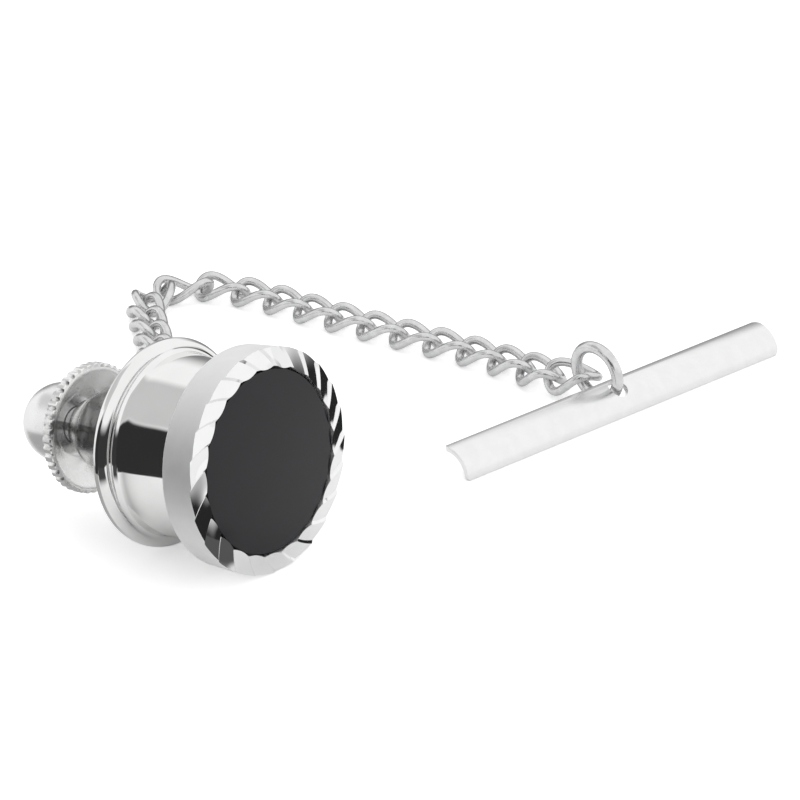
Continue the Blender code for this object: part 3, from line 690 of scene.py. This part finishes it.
# Toggle bar
BAR_ARC_STEPS = 24
BAR_CORNER_STEPS = 12


def bar_section(half):
    """Section of the arched sheet, cut off half a width to each side of its middle."""
    reach = math.asin(half / BAR_ARC_R)
    inner = BAR_ARC_R - BAR_SHEET
    lift = BAR_RISE - BAR_ARC_R
    section = []
    for radius, way in ((BAR_ARC_R, 1.0), (inner, -1.0)):
        for i in range(BAR_ARC_STEPS + 1):
            angle = reach * way * (2.0 * i / BAR_ARC_STEPS - 1.0)
            section.append((radius * math.sin(angle), radius * math.cos(angle) + lift))
    return section


def bar_mesh():
    """The bar lies on its own X, with Y from its front edge to its back edge."""
    def corner(radius):
        points = []
        for i in range(BAR_CORNER_STEPS + 1):
            angle = math.pi / 2 * i / BAR_CORNER_STEPS
            narrower = radius * (1.0 - math.sin(angle))
            points.append((radius * (1.0 - math.cos(angle)), BAR_WIDTH / 2 - narrower))
        return points

    stations = corner(BAR_NEAR_CORNER_R)
    stations += [(BAR_LENGTH - x, half) for x, half in reversed(corner(BAR_CORNER_R))]
    mesh = bpy.data.meshes.new("toggle_bar_look")
    work = bmesh.new()
    rows = []
    for x, half in stations:
        rows.append([work.verts.new(Vector((x, y, z)) * MM) for y, z in bar_section(half)])
    work.faces.new(rows[0])
    work.faces.new(reversed(rows[-1]))
    for row, following in zip(rows, rows[1:]):
        for j in range(len(row)):
            k = (j + 1) % len(row)
            work.faces.new((row[k], row[j], following[j], following[k]))
    bmesh.ops.recalc_face_normals(work, faces=work.faces)
    work.to_mesh(mesh)
    work.free()
    return mesh


def bar_frame():
    half = BAR_WIDTH / 2
    along = Vector((math.cos(BAR_AZIMUTH), math.sin(BAR_AZIMUTH), 0.0))
    flat = Vector((-along.y, along.x, 0.0))
    across = flat * math.cos(BAR_ROLL) + Vector((0.0, 0.0, math.sin(BAR_ROLL)))
    basis = Matrix((along, across, along.cross(across))).transposed()
    start = Vector((*BAR_START, 0.0)) + across * half
    start.z = -min((basis @ Vector((0.0, y, z))).z for y, z in bar_section(half))
    return Matrix.Translation(start * MM) @ basis.to_4x4()


def drilled(mesh):
    """The bar's mesh with its hole, its sharp edges eased."""
    holder = bpy.data.objects.new("bar_holder", mesh)
    bpy.context.scene.collection.objects.link(holder)
    drill_mesh = bpy.data.meshes.new("bar_drill")
    work = bmesh.new()
    bmesh.ops.create_cone(
        work, cap_ends=True, segments=HOLE_SIDES, radius1=BAR_HOLE_R * MM, radius2=BAR_HOLE_R * MM,
        depth=4.0 * BAR_RISE * MM,
    )
    work.to_mesh(drill_mesh)
    work.free()
    drill = bpy.data.objects.new("bar_drill", drill_mesh)
    bpy.context.scene.collection.objects.link(drill)
    drill.location = Vector((BAR_HOLE_AT, BAR_HOLE_ACROSS, BAR_RISE)) * MM
    boolean = holder.modifiers.new("Hole", "BOOLEAN")
    boolean.operation = "DIFFERENCE"
    boolean.solver = "EXACT"
    boolean.object = drill
    bevel = holder.modifiers.new("Ease", "BEVEL")
    bevel.width = BAR_EASE * MM
    bevel.segments = 3
    bevel.limit_method = "ANGLE"
    bevel.angle_limit = math.radians(40.0)
    bpy.context.view_layer.update()
    depsgraph = bpy.context.evaluated_depsgraph_get()
    made = bpy.data.meshes.new_from_object(holder.evaluated_get(depsgraph), depsgraph=depsgraph)
    bpy.data.objects.remove(holder)
    bpy.data.objects.remove(drill)
    made.name = "toggle_bar_look"
    made.shade_smooth()
    made.set_sharp_from_angle(angle=math.radians(35.0))
    return made


new_piece(
    "toggle_bar_look", drilled(bar_mesh()), root @ bar_frame(), bar_look, "bar",
    ["toggle_bar"],
)

# The CAD pieces inside the clutch keep their shapes
INNER_LOOKS = {
    "tack_post": post_look,
    "cone_sleeve": inner_look,
    "ball_cage": inner_look,
    "ball_1": ball_look,
    "ball_2": ball_look,
    "ball_3": ball_look,
    "pull_spring": spring_look,
}
for name, look in INNER_LOOKS.items():
    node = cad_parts[name]
    node.data.materials.clear()
    node.data.materials.append(look)


# Studio
def card(name, centre, azimuths, low, high, strength, fades):
    """A curved card that shows only in reflections, from low to high, each (distance, height).

    Azimuths are in degrees from +Y towards +X, as seen from the centre.
    It fades out at its two ends, its foot and its top over those shares of its size.
    """
    columns, rows = 48, 12
    vertices, places = [], []
    for i in range(rows + 1):
        v = i / rows
        for j in range(columns + 1):
            u = j / columns
            angle = math.radians(azimuths[0] + (azimuths[1] - azimuths[0]) * u)
            distance = low[0] + (high[0] - low[0]) * v
            height = low[1] + (high[1] - low[1]) * v
            vertices.append(Vector((
                centre[0] + distance * math.sin(angle), centre[1] + distance * math.cos(angle),
                height,
            )) * MM)
            places.append((u, v))
    faces = []
    for i in range(rows):
        for j in range(columns):
            k = i * (columns + 1) + j
            faces.append((k, k + 1, k + columns + 2, k + columns + 1))
    mesh = bpy.data.meshes.new(name)
    mesh.from_pydata(vertices, [], faces)
    spread = mesh.uv_layers.new(name="spread")
    for loop in mesh.loops:
        spread.data[loop.index].uv = places[loop.vertex_index]
    look = bpy.data.materials.new(name)
    look.use_nodes = True
    tree = look.node_tree
    tree.nodes.clear()
    where = tree.nodes.new("ShaderNodeTexCoord")
    parts = tree.nodes.new("ShaderNodeSeparateXYZ")
    tree.links.new(where.outputs["UV"], parts.inputs["Vector"])
    shares = []
    for output, start, end in (("X", fades[0], fades[1]), ("Y", fades[2], fades[3])):
        for width, edge in ((start, 0.0), (end, 1.0)):
            if width > 0.0:
                ramp = tree.nodes.new("ShaderNodeMapRange")
                ramp.interpolation_type = "SMOOTHSTEP"
                ramp.inputs["From Min"].default_value = edge
                ramp.inputs["From Max"].default_value = abs(edge - width)
                tree.links.new(parts.outputs[output], ramp.inputs["Value"])
                shares.append(ramp.outputs["Result"])
    cover = shares[0]
    for share in shares[1:]:
        product = tree.nodes.new("ShaderNodeMath")
        product.operation = "MULTIPLY"
        tree.links.new(cover, product.inputs[0])
        tree.links.new(share, product.inputs[1])
        cover = product.outputs["Value"]
    glow = tree.nodes.new("ShaderNodeEmission")
    glow.inputs["Color"].default_value = (strength, strength, strength, 1.0)
    glow.inputs["Strength"].default_value = 1.0
    clear = tree.nodes.new("ShaderNodeBsdfTransparent")
    mix = tree.nodes.new("ShaderNodeMixShader")
    tree.links.new(cover, mix.inputs["Fac"])
    tree.links.new(clear.outputs["BSDF"], mix.inputs[1])
    tree.links.new(glow.outputs["Emission"], mix.inputs[2])
    out = tree.nodes.new("ShaderNodeOutputMaterial")
    tree.links.new(mix.outputs["Shader"], out.inputs["Surface"])
    mesh.materials.append(look)
    obj = bpy.data.objects.new(name, mesh)
    bpy.context.scene.collection.objects.link(obj)
    obj.visible_camera = False
    obj.visible_diffuse = False
    obj.visible_shadow = False
    obj.visible_transmission = False


TACK_MIDDLE = (-10.0, -17.0)
UPPER_FACETS = (-5.0, -17.0)
LOWER_FACETS = (-10.0, -24.0)
CHAIN_MIDDLE = (0.0, 10.0)
# Name, centre, azimuths, low and high (distance, height), strength, fades
CARDS = (
    ("dark_left", TACK_MIDDLE, (-90, -122), (26, 0), (29, 22), 0.03, (0.1, 0.1, 0.0, 0.12)),
    ("dark_left_floor", TACK_MIDDLE, (-88, -122), (20, 0.05),
     (26, 0.05), 0.03, (0.1, 0.1, 0.15, 0.0)),
    ("dark_front", TACK_MIDDLE, (-112, -215), (33, 0), (36, 27), 0.04, (0.04, 0.04, 0.0, 0.4)),
    ("dark_front_floor", TACK_MIDDLE, (-112, -185), (13, 0.05),
     (33, 0.05), 0.06, (0.15, 0.15, 0.3, 0.0)),
    ("dark_upper_facets", UPPER_FACETS, (38, 59), (10, 0.9),
     (10, 6.8), 0.02, (0.1, 0.08, 0.05, 0.0)),
    ("dark_top_facets", UPPER_FACETS, (38, 73), (10, 6.8), (10, 12), 0.02, (0.1, 0.06, 0.0, 0.8)),
    # Painted shadow: a dark sheet on the floor by the head's foot stands for the head's contact
    # shadow there and shows only in the lower facets' reflections
    ("painted_shadow_lower_floor", LOWER_FACETS, (80, 165), (0.5, 0.05),
     (9, 0.05), 0.09, (0.15, 0.2, 0.35, 0.0)),
    ("dark_lower_facets", LOWER_FACETS, (100, 165), (9, 0), (9, 6.5), 0.02, (0.2, 0.2, 0.0, 0.4)),
    # Painted shade: a grey sheet on the floor left of the clutch stands for the floor's shadow
    # beside the drum and shows only in reflections
    ("painted_shade_left_floor", TACK_MIDDLE, (-112, -50), (5, 0.04),
     (28, 0.04), 0.4, (0.2, 0.2, 0.1, 0.2)),
    ("grey_back", CHAIN_MIDDLE, (-60, 50), (60, 0), (60, 60), 0.25, (0.15, 0.15, 0.0, 0.75)),
    ("grey_upper_left", TACK_MIDDLE, (-128, -35), (62, 34),
     (30, 90), 0.6, (0.1, 0.15, 0.12, 0.3)),
)
for settings in CARDS:
    card(*settings)

FLOOR_REACH = 3000.0
FLOOR_DROP = 0.01
FLOOR_GREY = 0.84
FLOOR_ROUGHNESS = 0.9
FLOOR_GLOW = 0.42
FLOOR_SHINE = 0.06
WORLD_LEVEL = 0.98
LAMP_SIZE = (350.0, 250.0)
LAMP_POWER = 0.12
LAMP_PLACE = (-60.0, 60.0, 420.0)
CAMERA_PLACE = (-0.754, -301.015, 111.37)
CAMERA_RIGHT = (0.9995, -0.0114, -0.0312)
CAMERA_UP = (0.0332, 0.3418, 0.9392)
CAMERA_BACK = (0.0, -0.9397, 0.342)
CAMERA_LENS = 261.36
CAMERA_SENSOR = 36.0
CAMERA_CLIP = (10.0, 10000.0)

reach = FLOOR_REACH * MM
floor_mesh = bpy.data.meshes.new("floor")
floor_mesh.from_pydata(
    [(x * reach, y * reach, 0) for x, y in ((-1, -1), (1, -1), (1, 1), (-1, 1))], [],
    [(0, 1, 2, 3)],
)
floor_look = bpy.data.materials.new("floor_look")
tree, shader = nodes_of(floor_look)
shader.inputs["Base Color"].default_value = (FLOOR_GREY, FLOOR_GREY, FLOOR_GREY, 1.0)
shader.inputs["Roughness"].default_value = FLOOR_ROUGHNESS
shader.inputs["Specular IOR Level"].default_value = 0.0
shader.inputs["Emission Color"].default_value = (1.0, 1.0, 1.0, 1.0)
rays = tree.nodes.new("ShaderNodeLightPath")
mirrored = tree.nodes.new("ShaderNodeMath")
mirrored.operation = "MAXIMUM"
tree.links.new(rays.outputs["Is Glossy Ray"], mirrored.inputs[0])
tree.links.new(rays.outputs["Is Transmission Ray"], mirrored.inputs[1])
shine = tree.nodes.new("ShaderNodeMath")
shine.operation = "MULTIPLY"
shine.inputs[1].default_value = FLOOR_SHINE
tree.links.new(mirrored.outputs["Value"], shine.inputs[0])
seen = tree.nodes.new("ShaderNodeMath")
seen.operation = "MULTIPLY_ADD"
seen.inputs[1].default_value = FLOOR_GLOW
tree.links.new(rays.outputs["Is Camera Ray"], seen.inputs[0])
tree.links.new(shine.outputs["Value"], seen.inputs[2])
tree.links.new(seen.outputs["Value"], shader.inputs["Emission Strength"])
floor_mesh.materials.append(floor_look)
floor = bpy.data.objects.new("floor", floor_mesh)
bpy.context.scene.collection.objects.link(floor)
floor.location.z = -FLOOR_DROP * MM

world = bpy.data.worlds.new("studio")
bpy.context.scene.world = world
world.use_nodes = True
world.node_tree.nodes["Background"].inputs["Color"].default_value = (1.0, 1.0, 1.0, 1.0)
world.node_tree.nodes["Background"].inputs["Strength"].default_value = WORLD_LEVEL

lamp = bpy.data.lights.new("top_light", "AREA")
lamp.shape = "RECTANGLE"
lamp.size = LAMP_SIZE[0] * MM
lamp.size_y = LAMP_SIZE[1] * MM
lamp.energy = LAMP_POWER
lamp_object = bpy.data.objects.new("top_light", lamp)
bpy.context.scene.collection.objects.link(lamp_object)
lamp_object.visible_glossy = False
lamp_object.location = Vector(LAMP_PLACE) * MM
lamp_object.rotation_mode = "QUATERNION"
lamp_object.rotation_quaternion = lamp_object.location.to_track_quat("Z", "Y")

camera = bpy.data.cameras.new("camera")
camera.sensor_width = CAMERA_SENSOR
camera.lens = CAMERA_LENS
camera.clip_start = CAMERA_CLIP[0] * MM
camera.clip_end = CAMERA_CLIP[1] * MM
camera_object = bpy.data.objects.new("camera", camera)
bpy.context.scene.collection.objects.link(camera_object)
view_basis = Matrix([
    Vector(way).normalized() for way in (CAMERA_RIGHT, CAMERA_UP, CAMERA_BACK)
]).transposed()
camera_object.matrix_world = Matrix.Translation(Vector(CAMERA_PLACE) * MM) @ view_basis.to_4x4()
bpy.context.scene.camera = camera_object
bpy.context.scene.view_settings.view_transform = "Standard"
